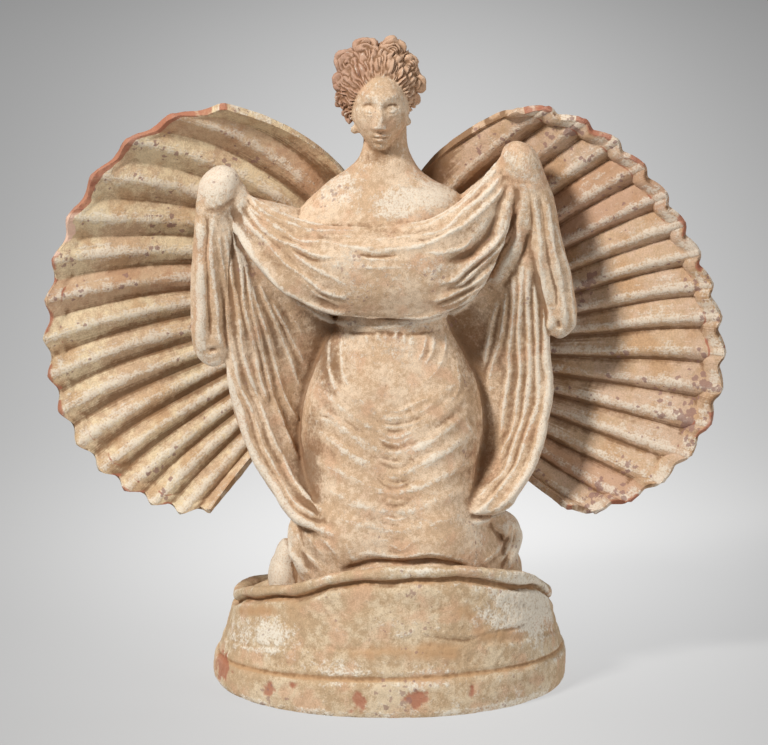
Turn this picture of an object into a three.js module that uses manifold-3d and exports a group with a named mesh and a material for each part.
// A terracotta figurine: a kneeling draped woman holds out her cloak before the two valves of an
// open scallop shell, on a moulded plinth. Millimetres, +Z up, the front faces -Y.
// The origin is the centre of the plinth's underside.
import * as THREE from 'three';
import { mergeVertices } from 'three/addons/utils/BufferGeometryUtils.js';
import Module from 'manifold-3d';

const wasm = await Module();
wasm.setup();

const { cos, sin, acos, atan2, PI, exp, abs, max, min, sqrt } = Math;
const RADIANS = PI / 180;

// Clearance left between neighbouring pieces where they are luted together.
const GAP = 0.3;

// Half the width of a trimming block, wider than the whole part.
const SLAB = 120;

// The plinth: a D-shaped drum whose top rises at the front in a wave.
const PLINTH = {
  halfWidth: 62,
  front: 56,
  back: 34,
  top: 30,
  waveRise: 21,
  waveSpan: 46,
  wavePower: 1.3,
  edgeInset: 6.5,
  columns: 30,
};

// The plinth's mouldings: height as a share of the edge's height, and how far each is set in.
const PLINTH_PROFILE = [
  [0, 0], [0.19, 0], [0.215, 2], [0.27, 2], [0.34, 1.1], [0.43, 4], [0.52, 3], [0.6, 3.8],
  [0.68, 6.6], [0.88, 8.2], [0.91, 5.8], [0.97, 5.4], [1, 6.6],
];

// The plinth's top, from the edge inwards: how far in, and how much of the wave's rise is left.
const PLINTH_TOP = [[10.5, 0.98], [16, 0.45], [24, 0]];

// The two valves. Each rim is nearly a circle about its centre, with a second and a third harmonic
// (size and turn in degrees). Ribs run from the hinge point to the rim and bow by `bow` at the top
// of the fan and `bowEnd` at its foot; `ribPitch` and `ribTaper` space them along the rim.
const VALVES = {
  left: {
    side: -1, hinge: [-1, 130], centre: [-46, 128.5], radius: 72.4,
    second: [2.06, 25.2], third: [3.3, 14.1], start: 97, end: 257,
    bow: 13, bowEnd: 0.5, edgeBow: 4, firstRib: 0, ribPitch: 0.0882, ribTaper: 0.00145,
  },
  right: {
    side: 1, hinge: [1, 114], centre: [40.8, 126.9], radius: 72.35,
    second: [0.71, -11.6], third: [4.24, 33.4], start: 88, end: -72,
    bow: 5, bowEnd: -3.5, edgeBow: 15, firstRib: 0.042, ribPitch: 0.0618, ribTaper: 0.00004,
  },
};
const VALVE = {
  wall: 2.4,
  hingeDepth: 7,
  rimDepth: -13,
  bowlPower: 2.4,
  beak: 4,
  beakShare: 0.1,
  ribHeight: 1.7,
  ribPower: 0.8,
  lobe: 1.1,
  lobePower: 6,
  corner: 3,
  cornerShare: 0.06,
  edgeBowShare: 0.07,
  innerShare: 0.03,
  columns: 46,
  rows: 4,
};

// The body, as level slices: height, left, right, front and back reach.
const BODY_SLICES = [
  [30.3, -38, 41, -41, 25], [40, -38, 41.5, -43.5, 26], [52, -34.5, 37.5, -44, 24.5],
  [60, -33, 35.5, -42.8, 21.5], [70, -30, 31.5, -40, 17.5], [80, -30, 30.5, -37, 13.5],
  [90, -30.5, 32, -34, 10], [100, -29.5, 31.5, -31, 7], [110, -26.5, 29, -28.8, 5],
  [120, -22.5, 24, -26.5, 4], [127, -18.5, 20.5, -25, 3.5], [130.9, -17.7, 19.7, -24.3, 3.5],
  [131.6, -18.8, 20.8, -25.5, 4], [135.4, -18.8, 20.8, -25.5, 4], [136.2, -18.5, 20.5, -25, 3.5],
  [141, -21, 22.5, -27, 3.5], [150, -27, 27, -28, 3.5], [158, -31, 29, -26, 3.5],
  [164, -31.5, 28.5, -23.5, 3.5], [169, -29, 26, -20.5, 3.5], [173, -24.5, 22.5, -18, 3],
  [176.5, -20.5, 15, -15.5, 2.5], [180, -15, 10.5, -14, 2], [183.5, -11, 8, -13.5, 2],
  [187, -9.5, 6.5, -13.5, 2], [194, -9, 5.6, -13, 2],
];
const BODY = { columns: 24, squareness: 2.25 };

// The tunic's relief on the front of the body, in its own levels from the hem up to the girdle:
// two thighs, a belly and hanging folds that sag between the knees.
const TUNIC = {
  top: 128,
  levels: 13,
  setBack: 2,
  thighs: [-15, 17],
  thighWidth: 12,
  thighDepth: 3,
  belly: { at: [0.5, 110], width: 15, height: 13, depth: 1.6 },
  folds: { x: 1.5, pitch: 13, depth: 1.1, width: 20, span: 22, sag: 14, sagPower: 1.6 },
};

// Guide lines of the cloak at matching stations: across the chest from the left hand to the right,
// and down each side from the hand to the hem on the knees.
const CHEST_SWAG = [
  [[-51.5, -18, 176], [-35.5, -21.5, 167.5], [-19, -22.5, 163.3], [-0.5, -23, 163.5],
    [15, -23, 166.5], [28, -21, 175.5], [38.5, -18, 188]],
  [[-51.5, -21, 172], [-35.5, -26.5, 158.5], [-19, -31, 154.7], [-0.5, -32, 156],
    [15, -31.5, 159], [29, -26.5, 168], [40, -20, 184.5]],
  [[-53, -22, 169], [-38, -27.5, 150], [-19, -31.5, 144], [-0.5, -32.5, 144],
    [16, -32, 146.5], [30.5, -27.5, 156], [42, -21, 181]],
  [[-55.5, -22, 167.5], [-41, -26, 147], [-20, -27, 135], [0, -27, 132.5],
    [16, -27, 134], [32, -26, 145], [45.5, -22, 177]],
];
const LEFT_SHEET = [
  [[-62, -20, 168], [-58, -18.5, 133.5], [-55.5, -18, 111], [-52, -20, 95.5],
    [-42, -26, 75.5], [-29, -36, 62.5], [-15, -43.5, 59]],
  [[-59, -21, 167], [-52, -19.5, 133.5], [-48, -17, 114], [-43, -17, 98.5],
    [-34, -22.5, 78.5], [-23, -34, 65.5], [-15, -43, 62.5]],
  [[-55.5, -22, 166], [-45, -19, 134], [-40, -14, 115.5], [-35.5, -12.5, 99],
    [-29.5, -16.5, 79.5], [-21, -30, 67.5], [-16, -42, 65]],
  [[-52, -22.5, 165], [-30, -15, 140], [-15, -8, 122], [-20, -6, 104.5],
    [-26, -8, 82], [-21, -24, 68.5], [-17, -41, 67]],
];
const RIGHT_SHEET = [
  [[52, -21, 177.5], [54, -18.5, 147], [54.5, -16.5, 119.5], [54.5, -18, 104],
    [49, -24, 81], [37, -34, 67.5], [22, -43.5, 66]],
  [[49, -22, 176], [49.5, -19, 147], [49, -15.5, 119], [48, -15.5, 103.5],
    [43, -20.5, 82.5], [32.5, -33, 69.5], [22, -43, 67.5]],
  [[46.5, -22.5, 174], [43.5, -19.5, 146], [41.5, -12, 118.5], [41, -11, 102.5],
    [37.5, -14, 82.5], [29, -27.5, 71.5], [22, -42, 68.5]],
  [[44.5, -23, 172.5], [29, -15, 144], [16, -8, 123], [20, -5, 102],
    [26.5, -6.5, 83], [26, -23, 71.5], [21, -41, 70]],
];

// The cloak's folds: how many, how deep, how soon they fade at the ends, and the cloth behind them.
// Those of the swag are calmer over the middle of the chest.
const SWAG = { folds: 7, depth: 2.8, fade: [0.12, 0.12], calm: 0.75, calmWidth: 0.22, wall: 8, rows: 12 };
const SHEETS = [
  { guides: LEFT_SHEET, folds: 5, depth: 2.2 },
  { guides: RIGHT_SHEET, folds: 6, depth: 2 },
];
const SHEET = { fade: [0.18, 0.25], wall: 4.5, rows: 9 };

// The free ends of the cloak that hang outside the hands: centre line, half width and half depth.
const LEFT_FALL = [
  [-60.5, -17.5, 177, 5, 6], [-61.5, -18, 168, 6.2, 6.5], [-62, -18, 150, 6.4, 6],
  [-61.8, -17.5, 134, 6.6, 5.4], [-61.5, -17, 121, 6.2, 4.8], [-61, -17, 114.5, 3.6, 3],
];
const RIGHT_FALL = [
  [47.5, -18, 184, 5.4, 6], [49.8, -18.5, 175, 5.6, 6.4], [55, -18, 158, 4.8, 6],
  [58.4, -17, 140, 5, 5.2], [59, -16.5, 131, 5, 4.4], [58.5, -16.5, 124.6, 3.2, 2.8],
];

// The hands under the cloak, and the arms that reach them.
const HANDS = {
  left: { centre: [-58, -18, 175], radii: [8, 8, 8.2] },
  right: { centre: [45, -18, 184.3], radii: [8.4, 8.4, 8.4] },
};
const ARMS = {
  left: { from: [-25, -5, 158], to: [-55, -15, 167], radius: 7 },
  right: { from: [22, -5, 160], to: [42, -15, 178.5], radius: 7 },
};

// Rounded lumps and folds of the hem beside the knees, as stretches from point to point.
const HEM_FOLDS = [
  { from: [-37, -14, 38], to: [-37, 8, 37], radius: 6 },
  { from: [-31, -26, 52], to: [-35, -10, 44], radius: 5 },
  { from: [36.5, -24, 62], to: [41.5, -15, 51], radius: 3.8 },
  { from: [41.5, -15, 51], to: [43, -5, 38], radius: 3.8 },
];

// The pad behind the waist that the two valves are luted to.
const PAD = [
  [0, 1, 96, 11, 3], [0, 1, 102, 14, 5.4], [0, 1, 142, 14, 5.4], [0, 1, 150, 11, 3],
];

// The head and the rolls of hair round it.
const HEAD = { centre: [-3.4, -8, 201.6], radii: [9.8, 11.5, 14.6], columns: 18, rows: 12 };
const HAIR = {
  centre: [-3.9, -0.5, 209.6], radii: [16, 13.5, 16.2], rolls: 10, firstRoll: -8,
  rings: 3, furrow: 0.13, columns: 40, rows: 10,
};

// The face, as soft bumps on the oval of the head: side, height, half width, half height and
// depth. All but the depth are shares of the head's half width or height; each bump is mirrored.
const FACE = [
  [0.3, 0.2, 0.34, 0.14, 0.8],
  [0.38, 0.06, 0.2, 0.1, -1.2],
  [0, -0.46, 0.26, 0.06, 0.9],
  [0, -0.58, 0.26, 0.06, 0.8],
  [0, -0.84, 0.3, 0.14, 1.3],
];
const NOSE = { width: 0.17, bridge: 0.18, length: 0.5, tip: -0.36, tipSize: 0.08, depth: 3 };

// Clay colours.
const CLAY = new THREE.MeshStandardMaterial({ color: 0xd0a77a, roughness: 0.9, metalness: 0 });
const SHELL_CLAY = new THREE.MeshStandardMaterial({ color: 0xb58a5f, roughness: 0.92, metalness: 0 });
const PLINTH_CLAY = new THREE.MeshStandardMaterial({ color: 0xcfae86, roughness: 0.92, metalness: 0 });

const lerp = (a, b, share) => a + (b - a) * share;
const clamp01 = (value) => min(1, max(0, value));
const bell = (value, width) => exp(-((value / width) ** 2));
const smooth = (value) => clamp01(value) ** 2 * (3 - 2 * clamp01(value));

// Reads a table of rows at a value of its first column, with straight lines between rows.
function readTable(rows, value) {
  const last = rows.length - 1;
  let low = 0;
  while (low < last - 1 && rows[low + 1][0] < value) low += 1;
  const [from, to] = [rows[low], rows[low + 1]];
  const share = clamp01((value - from[0]) / (to[0] - from[0]));
  return from.map((entry, column) => lerp(entry, to[column], share));
}

// Closes rows of points into a skin. Each row is a loop, and the end rows close on themselves,
// because their points coincide in pairs or all together.
function skin(rows) {
  const columns = rows[0].length;
  const geometry = new THREE.BufferGeometry().setFromPoints(rows.flat());
  const index = [];
  for (let row = 0; row < rows.length - 1; row += 1) {
    for (let column = 0; column < columns; column += 1) {
      const next = (column + 1) % columns;
      const a = row * columns + column;
      const b = row * columns + next;
      const c = a + columns;
      const d = b + columns;
      if ((row + column) % 2) {
        index.push(a, b, d, a, d, c);
      } else {
        index.push(a, b, c, b, d, c);
      }
    }
  }
  geometry.setIndex(index);
  return geometry;
}

// The volume inside a mesh, negative when its faces point inwards.
function signedVolume(position, index) {
  const [a, b, c] = [new THREE.Vector3(), new THREE.Vector3(), new THREE.Vector3()];
  let volume = 0;
  for (let i = 0; i < index.length; i += 3) {
    a.fromArray(position, index[i] * 3);
    b.fromArray(position, index[i + 1] * 3);
    c.fromArray(position, index[i + 2] * 3);
    volume += a.dot(b.cross(c)) / 6;
  }
  return volume;
}

// A wide level slab between two heights, for trimming.
function slab(low, high) {
  const box = new THREE.BoxGeometry(2 * SLAB, 2 * SLAB, high - low);
  box.translate(0, 0, (low + high) / 2);
  return solid(box);
}

// Turns a closed geometry into a solid that can be joined and cut.
function solid(source) {
  const geometry = source.clone();
  geometry.deleteAttribute('normal');
  geometry.deleteAttribute('uv');
  const merged = mergeVertices(geometry, 1e-4);
  const position = merged.attributes.position.array;
  const all = merged.index.array;
  let index = [];
  for (let i = 0; i < all.length; i += 3) {
    const [a, b, c] = [all[i], all[i + 1], all[i + 2]];
    if (a !== b && b !== c && c !== a) index.push(a, b, c);
  }
  if (signedVolume(position, index) < 0) index = index.reverse();
  return new wasm.Manifold(new wasm.Mesh({
    numProp: 3,
    vertProperties: new Float32Array(position),
    triVerts: new Uint32Array(index),
  }));
}

function joined(geometries) {
  return geometries.map(solid).reduce((whole, piece) => whole.add(piece));
}

function piece(name, whole, material) {
  const mesh = whole.getMesh();
  const geometry = new THREE.BufferGeometry();
  geometry.setAttribute('position', new THREE.Float32BufferAttribute(mesh.vertProperties, 3));
  geometry.setIndex(new THREE.Uint32BufferAttribute(mesh.triVerts, 1));
  geometry.computeVertexNormals();
  const node = new THREE.Mesh(geometry, material);
  node.name = name;
  return node;
}

// A rounded lump: a sphere stretched to its radii.
function lump(centre, radii, columns = 10, rows = 6) {
  const geometry = new THREE.SphereGeometry(1, columns, rows);
  geometry.scale(...radii);
  geometry.translate(...centre);
  return geometry;
}

// A limb with round ends between two points.
function limb(from, to, radius) {
  const start = new THREE.Vector3(...from);
  const end = new THREE.Vector3(...to);
  const geometry = new THREE.CapsuleGeometry(radius, start.distanceTo(end), 2, 8);
  const direction = end.clone().sub(start).normalize();
  const upright = new THREE.Vector3(0, 1, 0);
  geometry.applyQuaternion(new THREE.Quaternion().setFromUnitVectors(upright, direction));
  geometry.translate(...start.lerp(end, 0.5).toArray());
  return geometry;
}

// A closed form through level oval sections: centre x, y, height, half width and half depth.
function stackOfOvals(sections, columns = 10) {
  const rows = sections.map(([x, y, z, halfWidth, halfDepth]) => {
    const row = [];
    for (let column = 0; column < columns; column += 1) {
      const angle = (column / columns) * 2 * PI;
      row.push(new THREE.Vector3(x + halfWidth * cos(angle), y + halfDepth * sin(angle), z));
    }
    return row;
  });
  const cap = ([x, y, z]) => Array.from({ length: columns }, () => new THREE.Vector3(x, y, z));
  return skin([cap(sections[0]), ...rows, cap(sections[sections.length - 1])]);
}

// The plinth's plan at an inset from the foot: round in front and flatter behind.
function plinthPlan(angle, inset) {
  const [c, s] = [cos(angle), sin(angle)];
  const power = s < 0 ? 2.15 : 3;
  const reach = (s < 0 ? PLINTH.front : PLINTH.back) - inset;
  const width = PLINTH.halfWidth - inset;
  const scale = (abs(c / width) ** power + abs(s / reach) ** power) ** (-1 / power);
  return [scale * c, scale * s];
}

// How high the plinth's edge stands at a distance `y` behind its centre.
function plinthEdge(y) {
  const share = clamp01(-y / PLINTH.waveSpan);
  return PLINTH.top + PLINTH.waveRise * share ** PLINTH.wavePower;
}

function plinthSkin() {
  const ring = (inset, heightOf) => {
    const row = [];
    for (let column = 0; column < PLINTH.columns; column += 1) {
      const angle = (column / PLINTH.columns) * 2 * PI;
      const [x, y] = plinthPlan(angle, inset);
      const edge = plinthEdge(plinthPlan(angle, PLINTH.edgeInset)[1]);
      row.push(new THREE.Vector3(x, y, heightOf(edge)));
    }
    return row;
  };
  const middle = (z) => Array.from({ length: PLINTH.columns }, () => new THREE.Vector3(0, 0, z));
  const side = PLINTH_PROFILE.map(([share, inset]) => ring(inset, (edge) => edge * share));
  const top = PLINTH_TOP.map(([inset, rise]) => ring(inset, (edge) => lerp(PLINTH.top, edge, rise)));
  return skin([middle(0), ...side, ...top, middle(PLINTH.top)]);
}

// A valve's rim point at a share of the way from the top of the fan to its foot.
function rimPoint(valve, share) {
  const turn = (valve.start + (valve.end - valve.start) * share) * RADIANS;
  const wave = (order, [size, phase]) => size * cos(order * (turn + phase * RADIANS));
  const corner = VALVE.corner * max(0, (share - 1) / VALVE.cornerShare + 1) ** 2;
  const reach = valve.radius + wave(2, valve.second) + wave(3, valve.third) - corner;
  const [x, z] = valve.centre;
  return [x + reach * cos(turn), z + reach * sin(turn)];
}

// Which rib a share along the rim falls on: whole numbers are crests.
function ribNumber(valve, share) {
  const under = valve.ribPitch ** 2 - 4 * valve.ribTaper * (share - valve.firstRib);
  return (valve.ribPitch - sqrt(max(0, under))) / (2 * valve.ribTaper);
}

// A point on the middle of the valve's wall: `along` runs down the rim, `out` from hinge to rim.
function valvePoint(valve, along, out, offset) {
  const [hingeX, hingeZ] = valve.hinge;
  const [rimX, rimZ] = rimPoint(valve, along);
  const [dx, dz] = [rimX - hingeX, rimZ - hingeZ];
  const length = sqrt(dx * dx + dz * dz);
  const edge = valve.edgeBow * exp(-along / VALVE.edgeBowShare);
  const bow = (lerp(valve.bow, valve.bowEnd, along) + edge) * 4 * out * (1 - out) * valve.side;
  const crest = cos(2 * PI * ribNumber(valve, along));
  const reach = out + (VALVE.lobe / length) * crest * out ** VALVE.lobePower;
  const beak = VALVE.beak * bell(out, VALVE.beakShare);
  const bowl = lerp(VALVE.hingeDepth, VALVE.rimDepth, out ** VALVE.bowlPower) + beak;
  return new THREE.Vector3(
    hingeX + dx * reach - (dz / length) * bow,
    bowl - VALVE.ribHeight * crest * out ** VALVE.ribPower + offset,
    hingeZ + dz * reach + (dx / length) * bow,
  );
}

// The valve's wall. `grow` thickens it and pushes its edges out where it is used to cut its seat.
function valveSolid(valve, grow = 0) {
  const slack = grow / valve.radius;
  const half = VALVE.wall / 2 + 1.5 * grow;
  const spread = (i, count, low, high) => {
    if (i === 0) return low - slack;
    return i === count ? high + slack : lerp(low, high, i / count);
  };
  const rows = [];
  for (let row = 0; row <= VALVE.rows; row += 1) {
    const out = spread(row, VALVE.rows, VALVE.innerShare, 1);
    const front = [];
    const back = [];
    for (let column = 0; column <= VALVE.columns; column += 1) {
      const along = spread(column, VALVE.columns, 0, 1);
      front.push(valvePoint(valve, along, out, -half));
      back.push(valvePoint(valve, along, out, half));
    }
    rows.push([...front, ...back.reverse()]);
  }
  const fold = (row) => row.map((point, i) => point.clone().lerp(row[row.length - 1 - i], 0.5));
  const whole = solid(skin([fold(rows[0]), ...rows, fold(rows[rows.length - 1])]));
  const beyond = new THREE.BoxGeometry(2 * SLAB, 2 * SLAB, 4 * SLAB);
  beyond.translate(-valve.side * (SLAB - GAP / 2 + grow), 0, 0);
  return whole.subtract(solid(beyond));
}

// A sheet of cloth hung on guide lines, with folds that run along the guides. `folds` counts them,
// `depth(across, along)` is their height, and the back of the sheet is plain.
function clothSheet({ guides, folds, depth, wall, rows }) {
  const curve = (points) => new THREE.CatmullRomCurve3(points);
  const lines = guides.map((points) => curve(points.map((point) => new THREE.Vector3(...point))));
  const base = (across, along) => {
    const stations = lines.map((line) => line.getPoint(clamp01(along)));
    return curve(stations).getPoint(clamp01(across));
  };
  const step = 0.01;
  const outward = (across, along) => {
    const a = base(across + step, along).sub(base(across - step, along));
    const b = base(across, along + step).sub(base(across, along - step));
    const normal = a.cross(b).normalize();
    return normal.y > 0 ? normal.negate() : normal;
  };
  const loops = [];
  const columns = folds * 2;
  for (let row = 0; row <= rows; row += 1) {
    const along = row / rows;
    const front = [];
    const back = [];
    for (let column = 0; column <= columns; column += 1) {
      const across = column / columns;
      const point = base(across, along);
      const normal = outward(across, along);
      const fold = 0.5 - 0.5 * cos(2 * PI * folds * across);
      front.push(point.clone().addScaledVector(normal, depth(across, along) * fold));
      back.push(point.clone().addScaledVector(normal, -wall));
    }
    loops.push([...front, ...back.reverse()]);
  }
  const fold = (row) => row.map((point, i) => point.clone().lerp(row[row.length - 1 - i], 0.5));
  return skin([fold(loops[0]), ...loops, fold(loops[loops.length - 1])]);
}

// How far the tunic's front stands off the plain body at (x, z).
function tunicRelief(x, z) {
  const { thighs, thighWidth, thighDepth, belly, folds } = TUNIC;
  const lap = smooth((z - 48) / 12) * smooth((122 - z) / 22);
  const thigh = thighDepth * lap * thighs.reduce((sum, at) => sum + bell(x - at, thighWidth), 0);
  const hang = z + folds.sag * (abs(x - folds.x) / folds.span) ** folds.sagPower;
  const reach = bell(x - folds.x, folds.width) * smooth((112 - z) / 16) * smooth((z - 40) / 10);
  const fold = folds.depth * reach * cos((2 * PI * hang) / folds.pitch);
  const [atX, atZ] = belly.at;
  return thigh + fold + belly.depth * bell(x - atX, belly.width) * bell(z - atZ, belly.height);
}

// The body from the hem to the neck. `grow` widens it where it is used to cut the plinth's seat.
function bodySkin(grow = 0) {
  const low = BODY_SLICES[0][0] - grow;
  const levels = Array.from({ length: TUNIC.levels }, (_, i) => i / TUNIC.levels);
  const heights = levels.map((share) => lerp(low, TUNIC.top, share));
  heights.push(...BODY_SLICES.map(([z]) => z).filter((z) => z >= TUNIC.top));
  const rows = [];
  heights.forEach((z) => {
    const [, left, right, near, far] = readTable(BODY_SLICES, z);
    const centre = [(left + right) / 2, (near + far) / 2];
    const half = [(right - left) / 2 + grow, (far - near) / 2 + grow];
    const row = [];
    for (let column = 0; column < BODY.columns; column += 1) {
      const angle = (column / BODY.columns) * 2 * PI;
      const [c, s] = [cos(angle), sin(angle)];
      const scale = (abs(c) ** BODY.squareness + abs(s) ** BODY.squareness) ** (-1 / BODY.squareness);
      const x = centre[0] + half[0] * scale * c;
      const front = z < TUNIC.top ? smooth(-2 * s) : 0;
      const relief = front * (tunicRelief(x, z) - TUNIC.setBack);
      row.push(new THREE.Vector3(x, centre[1] + half[1] * scale * s - relief, z));
    }
    rows.push(row);
  });
  const cap = (row) => {
    const middle = row.reduce((sum, point) => sum.add(point), new THREE.Vector3());
    middle.divideScalar(row.length).setZ(row[0].z);
    return row.map(() => middle.clone());
  };
  return skin([cap(rows[0]), ...rows, cap(rows[rows.length - 1])]);
}

// How far the face stands off the plain oval of the head, at shares of its half width and height.
function faceRelief(x, z) {
  const tip = smooth((z - NOSE.tip) / NOSE.tipSize);
  const nose = NOSE.depth * bell(x, NOSE.width) * smooth((NOSE.bridge - z) / NOSE.length) * tip;
  const bumps = FACE.map(([side, up, width, height, depth]) => (
    depth * bell(abs(x) - side, width) * bell(z - up, height)
  ));
  return bumps.reduce((sum, bump) => sum + bump, nose);
}

function headSkin() {
  const geometry = new THREE.SphereGeometry(1, HEAD.columns, HEAD.rows);
  const position = geometry.attributes.position;
  const point = new THREE.Vector3();
  for (let i = 0; i < position.count; i += 1) {
    point.fromBufferAttribute(position, i);
    const [side, up, front] = [point.x, point.y, point.z];
    const jaw = 1 - 0.2 * smooth((-up - 0.2) / 0.7);
    const relief = front > 0 ? faceRelief(side, up) * smooth(front * 1.6) : 0;
    position.setXYZ(
      i,
      HEAD.centre[0] + side * HEAD.radii[0] * jaw,
      HEAD.centre[1] - front * HEAD.radii[1] - relief,
      HEAD.centre[2] + up * HEAD.radii[2],
    );
  }
  return geometry;
}

// The hair: one rounded mass, furrowed into rolls that stand round the head in rings.
function hairSkin() {
  const geometry = new THREE.SphereGeometry(1, HAIR.columns, HAIR.rows);
  const position = geometry.attributes.position;
  const point = new THREE.Vector3();
  for (let i = 0; i < position.count; i += 1) {
    point.fromBufferAttribute(position, i);
    const turn = atan2(point.z, point.x) - HAIR.firstRoll * RADIANS;
    const fromFront = acos(max(-1, min(1, -point.y)));
    const round = abs(sin((turn * HAIR.rolls) / 2));
    const ring = abs(sin(fromFront * HAIR.rings));
    const rim = smooth(sin(fromFront) * 1.4);
    const reach = 1 - HAIR.furrow * (1 - sqrt(round * ring)) * rim;
    position.setXYZ(
      i,
      HAIR.centre[0] + point.x * HAIR.radii[0] * reach,
      HAIR.centre[1] + point.y * HAIR.radii[1] * reach,
      HAIR.centre[2] + point.z * HAIR.radii[2] * reach,
    );
  }
  return geometry;
}

// How far folds have come up between the two ends of a sheet.
const fading = ([first, last], along) => smooth(along / first) * smooth((1 - along) / last);

function chestSwag() {
  const depth = (across, along) => {
    const calmed = 1 - SWAG.calm * bell(along - 0.5, SWAG.calmWidth);
    return SWAG.depth * calmed * fading(SWAG.fade, along);
  };
  return clothSheet({ ...SWAG, guides: CHEST_SWAG, depth });
}

function hangingSheet(sheet) {
  const depth = (across, along) => sheet.depth * fading(SHEET.fade, along);
  return clothSheet({ ...SHEET, ...sheet, depth });
}

// Everything modelled with the woman: body, cloak, arms, head, hair and the hem on the plinth.
function figureSolid() {
  const pieces = [
    bodySkin(),
    headSkin(),
    hairSkin(),
    chestSwag(),
    ...SHEETS.map(hangingSheet),
    stackOfOvals(LEFT_FALL),
    stackOfOvals(RIGHT_FALL),
    ...Object.values(ARMS).map(({ from, to, radius }) => limb(from, to, radius)),
    ...Object.values(HANDS).map(({ centre, radii }) => lump(centre, radii)),
    ...HEM_FOLDS.map(({ from, to, radius }) => limb(from, to, radius)),
    stackOfOvals(PAD, 12),
  ];
  let whole = joined(pieces);
  Object.values(VALVES).forEach((valve) => {
    whole = whole.subtract(valveSolid(valve, GAP));
  });
  return whole.subtract(slab(PLINTH.top + GAP - SLAB, PLINTH.top + GAP));
}

// The plinth with the seat of the figure cut into its raised front.
function plinthSolid() {
  const hem = HEM_FOLDS.map(({ from, to, radius }) => limb(from, to, radius + GAP));
  const cutter = joined([bodySkin(GAP), ...hem]).intersect(slab(PLINTH.top, PLINTH.top + SLAB));
  return solid(plinthSkin()).subtract(cutter);
}

const figurine = new THREE.Group();
figurine.name = 'terracotta_figurine';
figurine.add(piece('figure', figureSolid(), CLAY));
figurine.add(piece('shell_valve_left', valveSolid(VALVES.left), SHELL_CLAY));
figurine.add(piece('shell_valve_right', valveSolid(VALVES.right), SHELL_CLAY));
figurine.add(piece('plinth', plinthSolid(), PLINTH_CLAY));

export default figurine;
